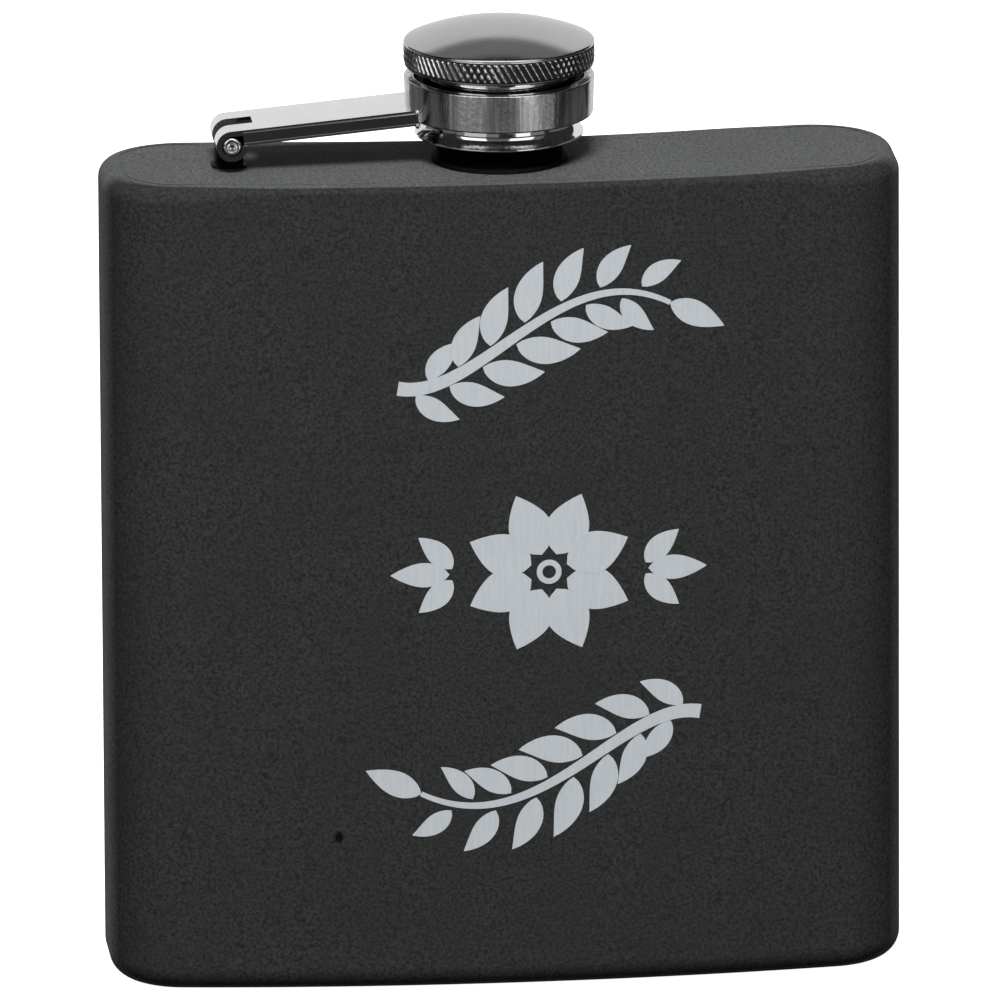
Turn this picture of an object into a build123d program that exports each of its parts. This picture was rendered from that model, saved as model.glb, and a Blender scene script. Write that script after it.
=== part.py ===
"""Hip flask of about 177 ml (6 fl oz) with a captive screw cap on a hinged arm.

The flask is a welded steel can with a kidney-shaped section: its front is convex and its back is
concave, to sit against a hip. A threaded neck is welded through the shoulder plate. The cap turns
inside a captive ring, the ring is welded to a flat arm, and the arm swings on a pin in a lug on
the shoulder.

Millimetres, +Z up. The origin is on the neck's axis, at the underside of the base.
+X is to the flask's right as seen from its convex front, which faces -Y.
"""

from build123d import *
from math import acos, asin, cos, pi, radians, sin
import os

# Body: a can with a kidney-shaped section
BODY_WIDTH = 95.0
BODY_DEPTH = 23.0  # on the centre line
BODY_HEIGHT = 99.0  # up to the shoulder's top face
BODY_SET_FORWARD = 1.8  # of the section's middle, from the neck's axis
FRONT_RADIUS = 318.0
BACK_RADIUS = 198.0
END_RADIUS = 9.1
WALL = 0.6
BASE_EDGE_RADIUS = 3.0
BASE_PAN_HEIGHT = 4.5  # where the base pan is welded to the wall
SHOULDER_EDGE_RADIUS = 1.4
SHOULDER_LIP = 2.6  # how far the wall is rolled in over the shoulder
SEAM_CHAMFER = 0.12  # softened edges along the shoulder's weld line

# Neck: heights are above the shoulder
NECK_BORE_RADIUS = 5.6
NECK_SPIGOT_RADIUS = 6.8
NECK_SPIGOT_DEPTH = 1.8  # below the shoulder's top face
NECK_FLANGE_RADIUS = 8.1
NECK_FLANGE_TOP = 0.5
NECK_COLLAR_RADIUS = 7.5
NECK_COLLAR_TOP = 3.0
NECK_ROOT_RADIUS = 6.55
NECK_CREST_RADIUS = 7.05
NECK_TOP = 10.8
NECK_LEAD_IN = 0.35
THREAD_PITCH = 2.0
THREAD_ROOT_WIDTH = 1.1
THREAD_CREST_WIDTH = 0.5
THREAD_BITE = 0.12  # how far a thread's root is sunk into its wall
NECK_THREAD_START = 4.2
NECK_THREAD_TURNS = 2.1

# Cap: heights are above the shoulder
GASKET_GAP = 0.02
GASKET_INNER_RADIUS = 4.4
GASKET_OUTER_RADIUS = 7.5
GASKET_THICKNESS = 1.2
INSERT_OUTER_RADIUS = 8.55
INSERT_ROOT_RADIUS = 8.1
INSERT_BOTTOM = 3.95
INSERT_TOP = 13.4
INSERT_THREAD_START = 5.0
INSERT_THREAD_TURNS = 2.4
SLEEVE_RADIUS = 9.05
SLEEVE_BOTTOM = 3.2
SLEEVE_FLANGE_RADIUS = 10.5
SLEEVE_FLANGE_BOTTOM = 12.2
SLEEVE_FLANGE_TOP = 12.8
LIP_RADIUS = 10.05
LIP_EDGE_TOP = 3.6
LIP_FLARE_TOP = 4.8
FLARE_BOW = 0.32  # how full the flare is at its middle: a straight cone would be 0.5
RIM_RADIUS = 11.37
RIM_BOTTOM = 11.6
RIM_CHAMFER = 0.38
RIM_TOP = 14.4
RIM_INNER_RADIUS = 10.55
RIM_ROLL_RADIUS = 9.15  # inner edge of the foot that is rolled under the sleeve's flange
DOME_RADIUS = 11.3
DOME_EDGE = 14.6
DOME_TOP = 16.95
DOME_SHEET = 0.6

# Captive ring and arm: heights are above the shoulder
RING_RADIUS = 11.35
RING_FOOT_RADIUS = 11.15  # the band tapers a little towards its foot
RING_INNER_RADIUS = 10.1
RING_LEDGE_RADIUS = 9.35
RING_LEDGE = 0.9
RING_BOTTOM = 5.7
RING_TOP = 10.35
RING_EDGE = 0.2
PIN_X = -32.25
PIN_Z = 3.5
PIN_RADIUS = 1.05
PIN_CLEARANCE = 0.15
ARM_SLOPE = 5.0  # degrees that the arm rises from the pin to the ring
ARM_SHEET = 0.65
ARM_WIDTH = 9.4
ARM_FLANGE_DEPTH = 1.95
ARM_SLOT_WIDTH = 3.0
ARM_SLOT_END = 2.9
ARM_FLANGE_START = 1.45
ARM_FLANGE_SPLAY = 0.25  # how far each flange's foot stands outside its bend
ARM_BEND_RADIUS = 0.45
CURL_RADIUS = 1.85
CURL_SWEEP = 265.0  # degrees of the rolled eye, from its top round to its tip
CURL_TRIM_STEPS = 4  # corners of the fan that trims the rolled eye's tip
EDGE_ROUND = 0.18

# Hinge lug and pin
LUG_WIDTH = 2.8
LUG_FOOT_WIDTH = 3.2
LUG_FOOT_LENGTH = 4.2
LUG_FOOT_HEIGHT = 0.3
LUG_FOOT_CORNER = 1.0
LUG_WEB_LENGTH = 3.2
PIN_REACH = 0.3  # how far each end stands out of the arm's eye
PIN_END_ROUND = 0.22
PIN_DIMPLE_RADIUS = 0.56
PIN_DIMPLE_DEPTH = 1.2

SHOULDER = BODY_HEIGHT  # the height that the neck's, cap's and arm's heights start from
shoulder_plane = Plane.XY.offset(SHOULDER)


def on_circle(centre, radius, angle):
    """The point of a circle at an angle in radians, measured from -Y towards +X."""
    return (centre[0] + radius * sin(angle), centre[1] - radius * cos(angle))


def kidney(inset):
    """The body's section as a flat face, drawn in by inset."""
    corner_x = BODY_WIDTH / 2 - END_RADIUS
    front_centre = (0, FRONT_RADIUS - BODY_DEPTH / 2 - BODY_SET_FORWARD)
    back_centre = (0, BACK_RADIUS + BODY_DEPTH / 2 - BODY_SET_FORWARD)
    front_angle = asin(corner_x / (FRONT_RADIUS - END_RADIUS))
    back_angle = asin(corner_x / (BACK_RADIUS + END_RADIUS))
    front_corner = on_circle(front_centre, FRONT_RADIUS - END_RADIUS, front_angle)
    back_corner = on_circle(back_centre, BACK_RADIUS + END_RADIUS, back_angle)
    front = FRONT_RADIUS - inset
    back = BACK_RADIUS + inset
    end = END_RADIUS - inset
    bend = (front_angle + pi / 2) / 2
    back_bend = (pi / 2 + pi + back_angle) / 2

    def mirrored(point):
        return (-point[0], point[1])

    front_tangent = on_circle(front_centre, front, front_angle)
    front_middle = on_circle(front_corner, end, bend)
    front_end = on_circle(front_corner, end, pi / 2)
    back_end = on_circle(back_corner, end, pi / 2)
    back_middle = on_circle(back_corner, end, back_bend)
    back_tangent = on_circle(back_centre, back, back_angle)
    with BuildSketch(Plane.XY, mode=Mode.PRIVATE) as section:
        with BuildLine():
            ThreePointArc(
                mirrored(front_tangent), on_circle(front_centre, front, 0), front_tangent
            )
            ThreePointArc(front_tangent, front_middle, front_end)
            Line(front_end, back_end)
            ThreePointArc(back_end, back_middle, back_tangent)
            ThreePointArc(
                back_tangent, on_circle(back_centre, back, 0), mirrored(back_tangent)
            )
            ThreePointArc(mirrored(back_tangent), mirrored(back_middle), mirrored(back_end))
            Line(mirrored(back_end), mirrored(front_end))
            ThreePointArc(mirrored(front_end), mirrored(front_middle), mirrored(front_tangent))
        make_face()
    return section.sketch


def thread(radius, start, turns, outward):
    """A helical ridge on a wall of this radius, as a loose solid for adding to that wall."""
    side = 1 if outward else -1
    depth = (NECK_CREST_RADIUS - NECK_ROOT_RADIUS) + THREAD_BITE
    foot = radius - side * THREAD_BITE
    with BuildPart(mode=Mode.PRIVATE) as ridge:
        with BuildLine():
            spiral = Helix(
                THREAD_PITCH, THREAD_PITCH * turns, foot, center=(0, 0, SHOULDER + start)
            )
        with BuildSketch(Plane(spiral @ 0, x_dir=(side, 0, 0), z_dir=spiral % 0)):
            with BuildLine():
                Polyline(
                    (0, -THREAD_ROOT_WIDTH / 2),
                    (depth, -THREAD_CREST_WIDTH / 2),
                    (depth, THREAD_CREST_WIDTH / 2),
                    (0, THREAD_ROOT_WIDTH / 2),
                    close=True,
                )
            make_face()
        sweep(path=spiral, is_frenet=True)
    return ridge.part


os.makedirs("parts", exist_ok=True)

# The wall: one wrapped sheet, its top edge rolled in over the shoulder
with BuildPart() as body_shell:
    with BuildSketch(Plane.XY.offset(BASE_PAN_HEIGHT)):
        add(kidney(0))
    extrude(amount=BODY_HEIGHT - BASE_PAN_HEIGHT)
    fillet(body_shell.faces().sort_by(Axis.Z)[-1].edges(), SHOULDER_EDGE_RADIUS)
    with BuildSketch(Plane.XY.offset(BASE_PAN_HEIGHT)):
        add(kidney(WALL))
    extrude(amount=BODY_HEIGHT - BASE_PAN_HEIGHT - WALL, mode=Mode.SUBTRACT)
    ceiling = body_shell.faces().filter_by(Plane.XY).sort_by(Axis.Z)[-2]
    fillet(ceiling.edges(), SHOULDER_EDGE_RADIUS - WALL)
    with BuildSketch(shoulder_plane.offset(-WALL)):
        add(kidney(SHOULDER_LIP))
    extrude(amount=WALL, mode=Mode.SUBTRACT)
    chamfer(
        body_shell.faces().sort_by(Axis.Z)[-1].inner_wires().edges(),
        SEAM_CHAMFER,
    )
body_shell.part.label = "body_shell"
export_step(body_shell.part, "parts/body_shell.step")

# The base: a pressed pan welded to the foot of the wall
with BuildPart() as base_pan:
    with BuildSketch():
        add(kidney(0))
    extrude(amount=BASE_PAN_HEIGHT)
    fillet(base_pan.faces().sort_by(Axis.Z)[0].edges(), BASE_EDGE_RADIUS)
    offset(
        amount=-WALL,
        openings=base_pan.faces().sort_by(Axis.Z)[-1],
        kind=Kind.INTERSECTION,
    )
base_pan.part.label = "base_pan"
export_step(base_pan.part, "parts/base_pan.step")

# The shoulder plate, let into the rolled edge and pierced for the neck
with BuildPart() as shoulder_plate:
    with BuildSketch(shoulder_plane.offset(-WALL)):
        add(kidney(SHOULDER_LIP))
        Circle(NECK_SPIGOT_RADIUS, mode=Mode.SUBTRACT)
    extrude(amount=WALL)
    chamfer(
        shoulder_plate.faces().sort_by(Axis.Z)[-1].outer_wire().edges(),
        SEAM_CHAMFER,
    )
shoulder_plate.part.label = "shoulder_plate"
export_step(shoulder_plate.part, "parts/shoulder_plate.step")

# The neck: a turned tube with a weld flange, a plain collar and an outside thread
with BuildPart() as neck:
    with BuildSketch(Plane.XZ):
        with BuildLine():
            Polyline(
                (NECK_BORE_RADIUS, SHOULDER - NECK_SPIGOT_DEPTH),
                (NECK_SPIGOT_RADIUS, SHOULDER - NECK_SPIGOT_DEPTH),
                (NECK_SPIGOT_RADIUS, SHOULDER),
                (NECK_FLANGE_RADIUS, SHOULDER),
                (NECK_FLANGE_RADIUS, SHOULDER + NECK_FLANGE_TOP),
                (NECK_COLLAR_RADIUS, SHOULDER + NECK_FLANGE_TOP),
                (NECK_COLLAR_RADIUS, SHOULDER + NECK_COLLAR_TOP),
                (NECK_ROOT_RADIUS, SHOULDER + NECK_COLLAR_TOP),
                (NECK_ROOT_RADIUS, SHOULDER + NECK_TOP - NECK_LEAD_IN),
                (NECK_ROOT_RADIUS - NECK_LEAD_IN, SHOULDER + NECK_TOP),
                (NECK_BORE_RADIUS, SHOULDER + NECK_TOP),
                close=True,
            )
        make_face()
    revolve(axis=Axis.Z)
    flange_edge = (
        neck.edges()
        .filter_by(GeomType.CIRCLE)
        .filter_by(lambda edge: abs(edge.radius - NECK_FLANGE_RADIUS) < EDGE_ROUND)
        .sort_by(Axis.Z)[-1]
    )
    fillet(flange_edge, EDGE_ROUND)
    add(thread(NECK_ROOT_RADIUS, NECK_THREAD_START, NECK_THREAD_TURNS, outward=True))
neck.part.label = "neck"
export_step(neck.part, "parts/neck.step")

# The hinge lug: a foot on the shoulder, a web and a round head with the pin's bore
with BuildPart() as hinge_lug:
    with BuildSketch(Plane.XZ):
        with Locations((PIN_X, SHOULDER + PIN_Z / 2)):
            Rectangle(LUG_WEB_LENGTH, PIN_Z)
        with Locations((PIN_X, SHOULDER + PIN_Z)):
            Circle(CURL_RADIUS)
            Circle(PIN_RADIUS, mode=Mode.SUBTRACT)
    extrude(amount=LUG_WIDTH / 2, both=True)
    with BuildSketch(shoulder_plane):
        with Locations((PIN_X, 0)):
            RectangleRounded(LUG_FOOT_LENGTH, LUG_FOOT_WIDTH, LUG_FOOT_CORNER)
    extrude(amount=LUG_FOOT_HEIGHT)
hinge_lug.part.label = "hinge_lug"
export_step(hinge_lug.part, "parts/hinge_lug.step")

# The hinge pin: a semi-tubular rivet pressed into the lug
pin_plane = Plane(origin=(PIN_X, 0, SHOULDER + PIN_Z), x_dir=(1, 0, 0), z_dir=(0, -1, 0))
pin_end = ARM_WIDTH / 2 + PIN_REACH
with BuildPart() as hinge_pin:
    with BuildSketch(pin_plane):
        Circle(PIN_RADIUS)
    extrude(amount=pin_end, both=True)
    end_faces = hinge_pin.faces().filter_by(Axis.Y)
    fillet(end_faces.edges(), PIN_END_ROUND)
    for side in (1, -1):
        with BuildSketch(pin_plane.offset(side * pin_end)):
            Circle(PIN_DIMPLE_RADIUS)
        extrude(amount=-side * PIN_DIMPLE_DEPTH, mode=Mode.SUBTRACT)
hinge_pin.part.label = "hinge_pin"
export_step(hinge_pin.part, "parts/hinge_pin.step")

# The captive ring: a band with an inner ledge that the cap's lip hangs on
with BuildPart() as captive_ring:
    with BuildSketch(Plane.XZ):
        with BuildLine():
            Polyline(
                (RING_LEDGE_RADIUS, SHOULDER + RING_BOTTOM),
                (RING_FOOT_RADIUS, SHOULDER + RING_BOTTOM),
                (RING_RADIUS, SHOULDER + RING_TOP),
                (RING_INNER_RADIUS, SHOULDER + RING_TOP),
                (RING_INNER_RADIUS, SHOULDER + RING_BOTTOM + RING_LEDGE),
                (RING_LEDGE_RADIUS, SHOULDER + RING_BOTTOM + RING_LEDGE),
                close=True,
            )
        make_face()
    revolve(axis=Axis.Z)
    rim_edges = captive_ring.edges().filter_by(GeomType.CIRCLE)
    fillet(rim_edges.group_by(Axis.Z)[-1], RING_EDGE)
    fillet(
        captive_ring.edges()
        .filter_by(GeomType.CIRCLE)
        .group_by(Axis.Z)[0]
        .filter_by(lambda edge: edge.radius > RING_INNER_RADIUS),
        RING_EDGE,
    )
captive_ring.part.label = "captive_ring"
export_step(captive_ring.part, "parts/captive_ring.step")

# The arm: a channel of sheet, welded to the ring, its far end rolled round the pin in two eyes
slope = radians(ARM_SLOPE)
arm_plane = Plane(
    origin=(PIN_X, 0, SHOULDER + PIN_Z),
    x_dir=(cos(slope), 0, sin(slope)),
    z_dir=(0, -1, 0),
)
arm_length = -PIN_X
curl_tip = 90 + CURL_SWEEP
curl_gap = 360 - CURL_SWEEP
trim_radius = 2 * CURL_RADIUS
trim_angles = [
    radians(curl_tip + curl_gap * step / CURL_TRIM_STEPS) for step in range(CURL_TRIM_STEPS + 1)
]
eye_radius = PIN_RADIUS + PIN_CLEARANCE
web_bottom = CURL_RADIUS - ARM_SHEET
flange_foot = CURL_RADIUS - ARM_FLANGE_DEPTH
section_plane = Plane(
    origin=arm_plane.from_local_coords(Vector(ARM_FLANGE_START, 0, 0)),
    x_dir=(0, 1, 0),
    z_dir=arm_plane.x_dir,
)


def channel_outline(half_width, top):
    """A symmetric outline across the arm, down to the flanges' feet and wider there."""
    foot = half_width + ARM_FLANGE_SPLAY
    return (
        (-half_width, top),
        (half_width, top),
        (foot, flange_foot),
        (-foot, flange_foot),
    )


with BuildPart() as captive_arm:
    with BuildSketch(arm_plane):
        Circle(CURL_RADIUS)
        with BuildLine():
            Polyline(
                (0, 0),
                *[(trim_radius * cos(angle), trim_radius * sin(angle)) for angle in trim_angles],
                close=True,
            )
        make_face(mode=Mode.SUBTRACT)
        with Locations((arm_length / 2, (CURL_RADIUS + web_bottom) / 2)):
            Rectangle(arm_length, ARM_SHEET)
        Circle(eye_radius, mode=Mode.SUBTRACT)
    extrude(amount=ARM_WIDTH / 2, both=True)
    with BuildSketch(section_plane):
        with BuildLine():
            Polyline(*channel_outline(ARM_WIDTH / 2, CURL_RADIUS), close=True)
        outer_face = make_face()
        fillet(outer_face.vertices().group_by(Axis.Z)[-1], ARM_BEND_RADIUS)
        with BuildLine():
            Polyline(*channel_outline(ARM_WIDTH / 2 - ARM_SHEET, web_bottom), close=True)
        make_face(mode=Mode.SUBTRACT)
    extrude(amount=arm_length - ARM_FLANGE_START)
    slot_left = -2 * CURL_RADIUS
    with BuildSketch(arm_plane):
        with Locations(((ARM_SLOT_END + slot_left) / 2, 0)):
            Rectangle(ARM_SLOT_END - slot_left, 3 * CURL_RADIUS)
    extrude(amount=ARM_SLOT_WIDTH / 2, both=True, mode=Mode.SUBTRACT)
    with BuildSketch(Plane.XZ):
        with BuildLine():
            Polyline(
                (0, SHOULDER),
                (RING_FOOT_RADIUS, SHOULDER),
                (RING_FOOT_RADIUS, SHOULDER + RING_BOTTOM),
                (RING_RADIUS, SHOULDER + RING_TOP),
                (0, SHOULDER + RING_TOP),
                close=True,
            )
        make_face()
    revolve(axis=Axis.Z, mode=Mode.SUBTRACT)
captive_arm.part.label = "captive_arm"
export_step(captive_arm.part, "parts/captive_arm.step")

# The cap's top: a domed disc seated on the rim
dome_rise = DOME_TOP - DOME_EDGE
dome_sphere = (DOME_RADIUS**2 + dome_rise**2) / (2 * dome_rise)
dome_centre = DOME_TOP - dome_sphere
inner_sphere = dome_sphere - DOME_SHEET
dome_angle = asin(DOME_RADIUS / dome_sphere)
inner_angle = acos((RIM_TOP - dome_centre) / inner_sphere)


def dome_point(radius, angle):
    """A point on a dome's arc, at this angle from the cap's axis."""
    return (radius * sin(angle), SHOULDER + dome_centre + radius * cos(angle))


with BuildPart() as cap_dome:
    with BuildSketch(Plane.XZ):
        with BuildLine():
            ThreePointArc(
                dome_point(dome_sphere, 0),
                dome_point(dome_sphere, dome_angle / 2),
                dome_point(dome_sphere, dome_angle),
            )
            Polyline(
                dome_point(dome_sphere, dome_angle),
                (DOME_RADIUS, SHOULDER + RIM_TOP),
                dome_point(inner_sphere, inner_angle),
            )
            ThreePointArc(
                dome_point(inner_sphere, inner_angle),
                dome_point(inner_sphere, inner_angle / 2),
                dome_point(inner_sphere, 0),
            )
            Line(dome_point(inner_sphere, 0), dome_point(dome_sphere, 0))
        make_face()
    revolve(axis=Axis.Z)
cap_dome.part.label = "cap_dome"
export_step(cap_dome.part, "parts/cap_dome.step")

# The cap's rim, knurled for grip: it carries the dome and its rolled foot holds the sleeve
with BuildPart() as cap_rim:
    with BuildSketch(Plane.XZ):
        with BuildLine():
            Polyline(
                (RIM_ROLL_RADIUS, SHOULDER + RIM_BOTTOM),
                (RIM_RADIUS - RIM_CHAMFER, SHOULDER + RIM_BOTTOM),
                (RIM_RADIUS, SHOULDER + RIM_BOTTOM + RIM_CHAMFER),
                (RIM_RADIUS, SHOULDER + RIM_TOP),
                (RIM_INNER_RADIUS, SHOULDER + RIM_TOP),
                (RIM_INNER_RADIUS, SHOULDER + SLEEVE_FLANGE_BOTTOM),
                (RIM_ROLL_RADIUS, SHOULDER + SLEEVE_FLANGE_BOTTOM),
                (RIM_ROLL_RADIUS, SHOULDER + RIM_BOTTOM),
            )
        make_face()
    revolve(axis=Axis.Z)
cap_rim.part.label = "cap_rim"
export_step(cap_rim.part, "parts/cap_rim.step")

# The cap's sleeve: its top flange is held in the cover, its lip keeps the ring captive
with BuildPart() as cap_sleeve:
    with BuildSketch(Plane.XZ):
        with BuildLine():
            Polyline(
                (INSERT_OUTER_RADIUS, SHOULDER + SLEEVE_BOTTOM),
                (LIP_RADIUS, SHOULDER + SLEEVE_BOTTOM),
                (LIP_RADIUS, SHOULDER + LIP_EDGE_TOP),
            )
            ThreePointArc(
                (LIP_RADIUS, SHOULDER + LIP_EDGE_TOP),
                (
                    SLEEVE_RADIUS + (LIP_RADIUS - SLEEVE_RADIUS) * FLARE_BOW,
                    SHOULDER + LIP_EDGE_TOP + (LIP_FLARE_TOP - LIP_EDGE_TOP) * FLARE_BOW,
                ),
                (SLEEVE_RADIUS, SHOULDER + LIP_FLARE_TOP),
            )
            Polyline(
                (SLEEVE_RADIUS, SHOULDER + LIP_FLARE_TOP),
                (SLEEVE_RADIUS, SHOULDER + SLEEVE_FLANGE_BOTTOM),
                (SLEEVE_FLANGE_RADIUS, SHOULDER + SLEEVE_FLANGE_BOTTOM),
                (SLEEVE_FLANGE_RADIUS, SHOULDER + SLEEVE_FLANGE_TOP),
                (INSERT_OUTER_RADIUS, SHOULDER + SLEEVE_FLANGE_TOP),
                (INSERT_OUTER_RADIUS, SHOULDER + SLEEVE_BOTTOM),
            )
        make_face()
    revolve(axis=Axis.Z)
cap_sleeve.part.label = "cap_sleeve"
export_step(cap_sleeve.part, "parts/cap_sleeve.step")

# The thread insert: a moulded cup with an inside thread, bonded into the sleeve
gasket_bottom = NECK_TOP + GASKET_GAP
gasket_top = gasket_bottom + GASKET_THICKNESS
with BuildPart() as thread_insert:
    with BuildSketch(Plane.XZ):
        with BuildLine():
            Polyline(
                (INSERT_ROOT_RADIUS, SHOULDER + INSERT_BOTTOM),
                (INSERT_OUTER_RADIUS, SHOULDER + INSERT_BOTTOM),
                (INSERT_OUTER_RADIUS, SHOULDER + INSERT_TOP),
                (0, SHOULDER + INSERT_TOP),
                (0, SHOULDER + gasket_top),
                (INSERT_ROOT_RADIUS, SHOULDER + gasket_top),
                close=True,
            )
        make_face()
    revolve(axis=Axis.Z)
    add(thread(INSERT_ROOT_RADIUS, INSERT_THREAD_START, INSERT_THREAD_TURNS, outward=False))
thread_insert.part.label = "thread_insert"
export_step(thread_insert.part, "parts/thread_insert.step")

# The gasket: a soft ring in the insert's ceiling that seals on the neck's rim
with BuildPart() as cap_gasket:
    with BuildSketch(shoulder_plane.offset(gasket_bottom)):
        Circle(GASKET_OUTER_RADIUS)
        Circle(GASKET_INNER_RADIUS, mode=Mode.SUBTRACT)
    extrude(amount=GASKET_THICKNESS)
    fillet(cap_gasket.edges().group_by(Axis.Z)[0], EDGE_ROUND)
cap_gasket.part.label = "cap_gasket"
export_step(cap_gasket.part, "parts/cap_gasket.step")
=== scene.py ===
"""The hip flask's visual model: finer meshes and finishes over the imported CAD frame.

Lengths are in millimetres until a mesh is made. The origin is on the neck's axis, at the
underside of the base, with +Z up and the convex front facing -Y, as in the CAD.
"""

import math

import bmesh
import bpy
from mathutils import Matrix, Vector, noise


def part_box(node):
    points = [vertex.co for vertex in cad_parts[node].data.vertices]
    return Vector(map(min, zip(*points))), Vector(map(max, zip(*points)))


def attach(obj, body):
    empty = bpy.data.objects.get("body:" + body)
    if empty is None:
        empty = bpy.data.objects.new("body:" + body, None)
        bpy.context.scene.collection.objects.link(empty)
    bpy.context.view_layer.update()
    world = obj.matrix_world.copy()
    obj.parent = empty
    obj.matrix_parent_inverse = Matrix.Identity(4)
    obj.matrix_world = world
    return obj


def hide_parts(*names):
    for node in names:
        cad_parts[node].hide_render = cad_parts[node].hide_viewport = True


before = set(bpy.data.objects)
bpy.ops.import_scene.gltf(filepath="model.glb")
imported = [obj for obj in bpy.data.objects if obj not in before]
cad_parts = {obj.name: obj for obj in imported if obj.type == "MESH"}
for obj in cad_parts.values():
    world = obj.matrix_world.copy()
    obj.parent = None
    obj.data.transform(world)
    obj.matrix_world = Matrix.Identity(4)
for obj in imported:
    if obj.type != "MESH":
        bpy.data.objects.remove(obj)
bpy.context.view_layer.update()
scene = bpy.context.scene

MM = 0.001
TAU = 2 * math.pi

# Body: heights from the base
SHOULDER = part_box("shoulder_plate")[1].z / MM
HALF_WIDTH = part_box("body_shell")[1].x / MM
WALL_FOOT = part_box("base_pan")[1].z / MM
SECTION_DEPTH = 23.0
SECTION_MIDDLE = -1.8
FRONT_RADIUS = 318.0
BACK_RADIUS = 198.0
END_RADIUS = 9.1
WALL = 0.6
SHOULDER_LIP = 2.6
BASE_EDGE = 3.0

# Cap, ring and neck: radii, and heights above the shoulder
RIM_RADIUS = 11.37
RIM_BOTTOM = 11.6
RIM_TOP = 14.4
RIM_INNER_RADIUS = 10.55
KNURL_BOTTOM = 11.82
KNURL_TOP = 14.3
KNURL_TEETH = 83
KNURL_DEPTH = 0.24
KNURL_LEAN = 0.67  # teeth that a stroke moves round by for each millimetre down
KNURL_DRIFTS = 6  # stretches round the rim where the two knurling wheels' strokes cross
DOME_RADIUS = 11.3
DOME_EDGE = 14.6
DOME_TOP = 16.95
SLEEVE_RADIUS = 9.05
SLEEVE_INNER_RADIUS = 8.57
SLEEVE_FLANGE_RADIUS = 10.5
SLEEVE_FLANGE_TOP = 12.8
RIM_ROLL_RADIUS = 9.15  # inner edge of the rim's foot, rolled under the sleeve's flange
RIM_ROLL_TOP = 12.2
LIP_FLARE_TOP = 4.9
LIP_BOTTOM = 3.2
COLLAR_TOP = 3.0  # where the neck's black collar ends and its bare thread begins
RING_RADIUS = 11.35
RING_FOOT_RADIUS = 11.15
RING_LEDGE_RADIUS = 9.35
RING_LEDGE = 0.9
RING_INNER_RADIUS = 10.1
RING_BOTTOM = 5.7
RING_TOP = 10.35
PIN_X = -32.25
PIN_Z = 3.5
ARM_HALF_WIDTH = 4.7
ARM_SLOPE = math.radians(5.0)
ARM_FLANGE_DEPTH = 1.95
CURL_RADIUS = 1.85
PIN_RADIUS = 1.05
PIN_REACH = 0.3
PIN_HOLLOW_RADIUS = 0.56
PIN_HOLLOW_DEPTH = 1.2

# Coat
NICK_X = -20.8  # a small dark nick in the coat
NICK_Z = 19.3
COAT_LEVEL = 0.029
COAT_TINT = 0.02
COAT_ROUGH = 0.55
COAT_SHEEN = 0.006
COAT_PAINTED_SHEEN = 3.0  # painted sheen: how many times lighter the coat's colour is painted at a low angle than face on

# Ornament on the front
ORNAMENT_X = 4.4
ORNAMENT_Z = 51.5
STROKE_RISE = 0.03
STROKE_STEP = 0.01
STROKE_SINK = 0.05
STAGGER = 0.03  # how far apart along a sprig's stem the two leaves of a pair start

# Studio: places in metres, powers in watts
KEY_PLACE = (-0.10, -0.72, 0.96)
KEY_POWER = 19.0
BACK_PLACE = (-0.35, 1.1, 0.13)
BACK_POWER = 10.0
LIGHT_SIZE = 0.3
FILL = 0.11  # how much of the studio's glow reaches the matte surfaces
CAMERA_PITCH = 15.5  # degrees that the camera looks down
CAMERA_HEADING = 5.54  # degrees that the camera stands to the left of the front
CAMERA_ROLL = -0.28
CAMERA_DISTANCE = 2.81
CAMERA_AIM = 0.047


def front_surface(x):
    """Where the convex front's surface is, in y."""
    centre = FRONT_RADIUS - SECTION_DEPTH / 2 + SECTION_MIDDLE
    return centre - math.sqrt(FRONT_RADIUS**2 - x**2)


# ---------------------------------------------------------------- materials


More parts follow.
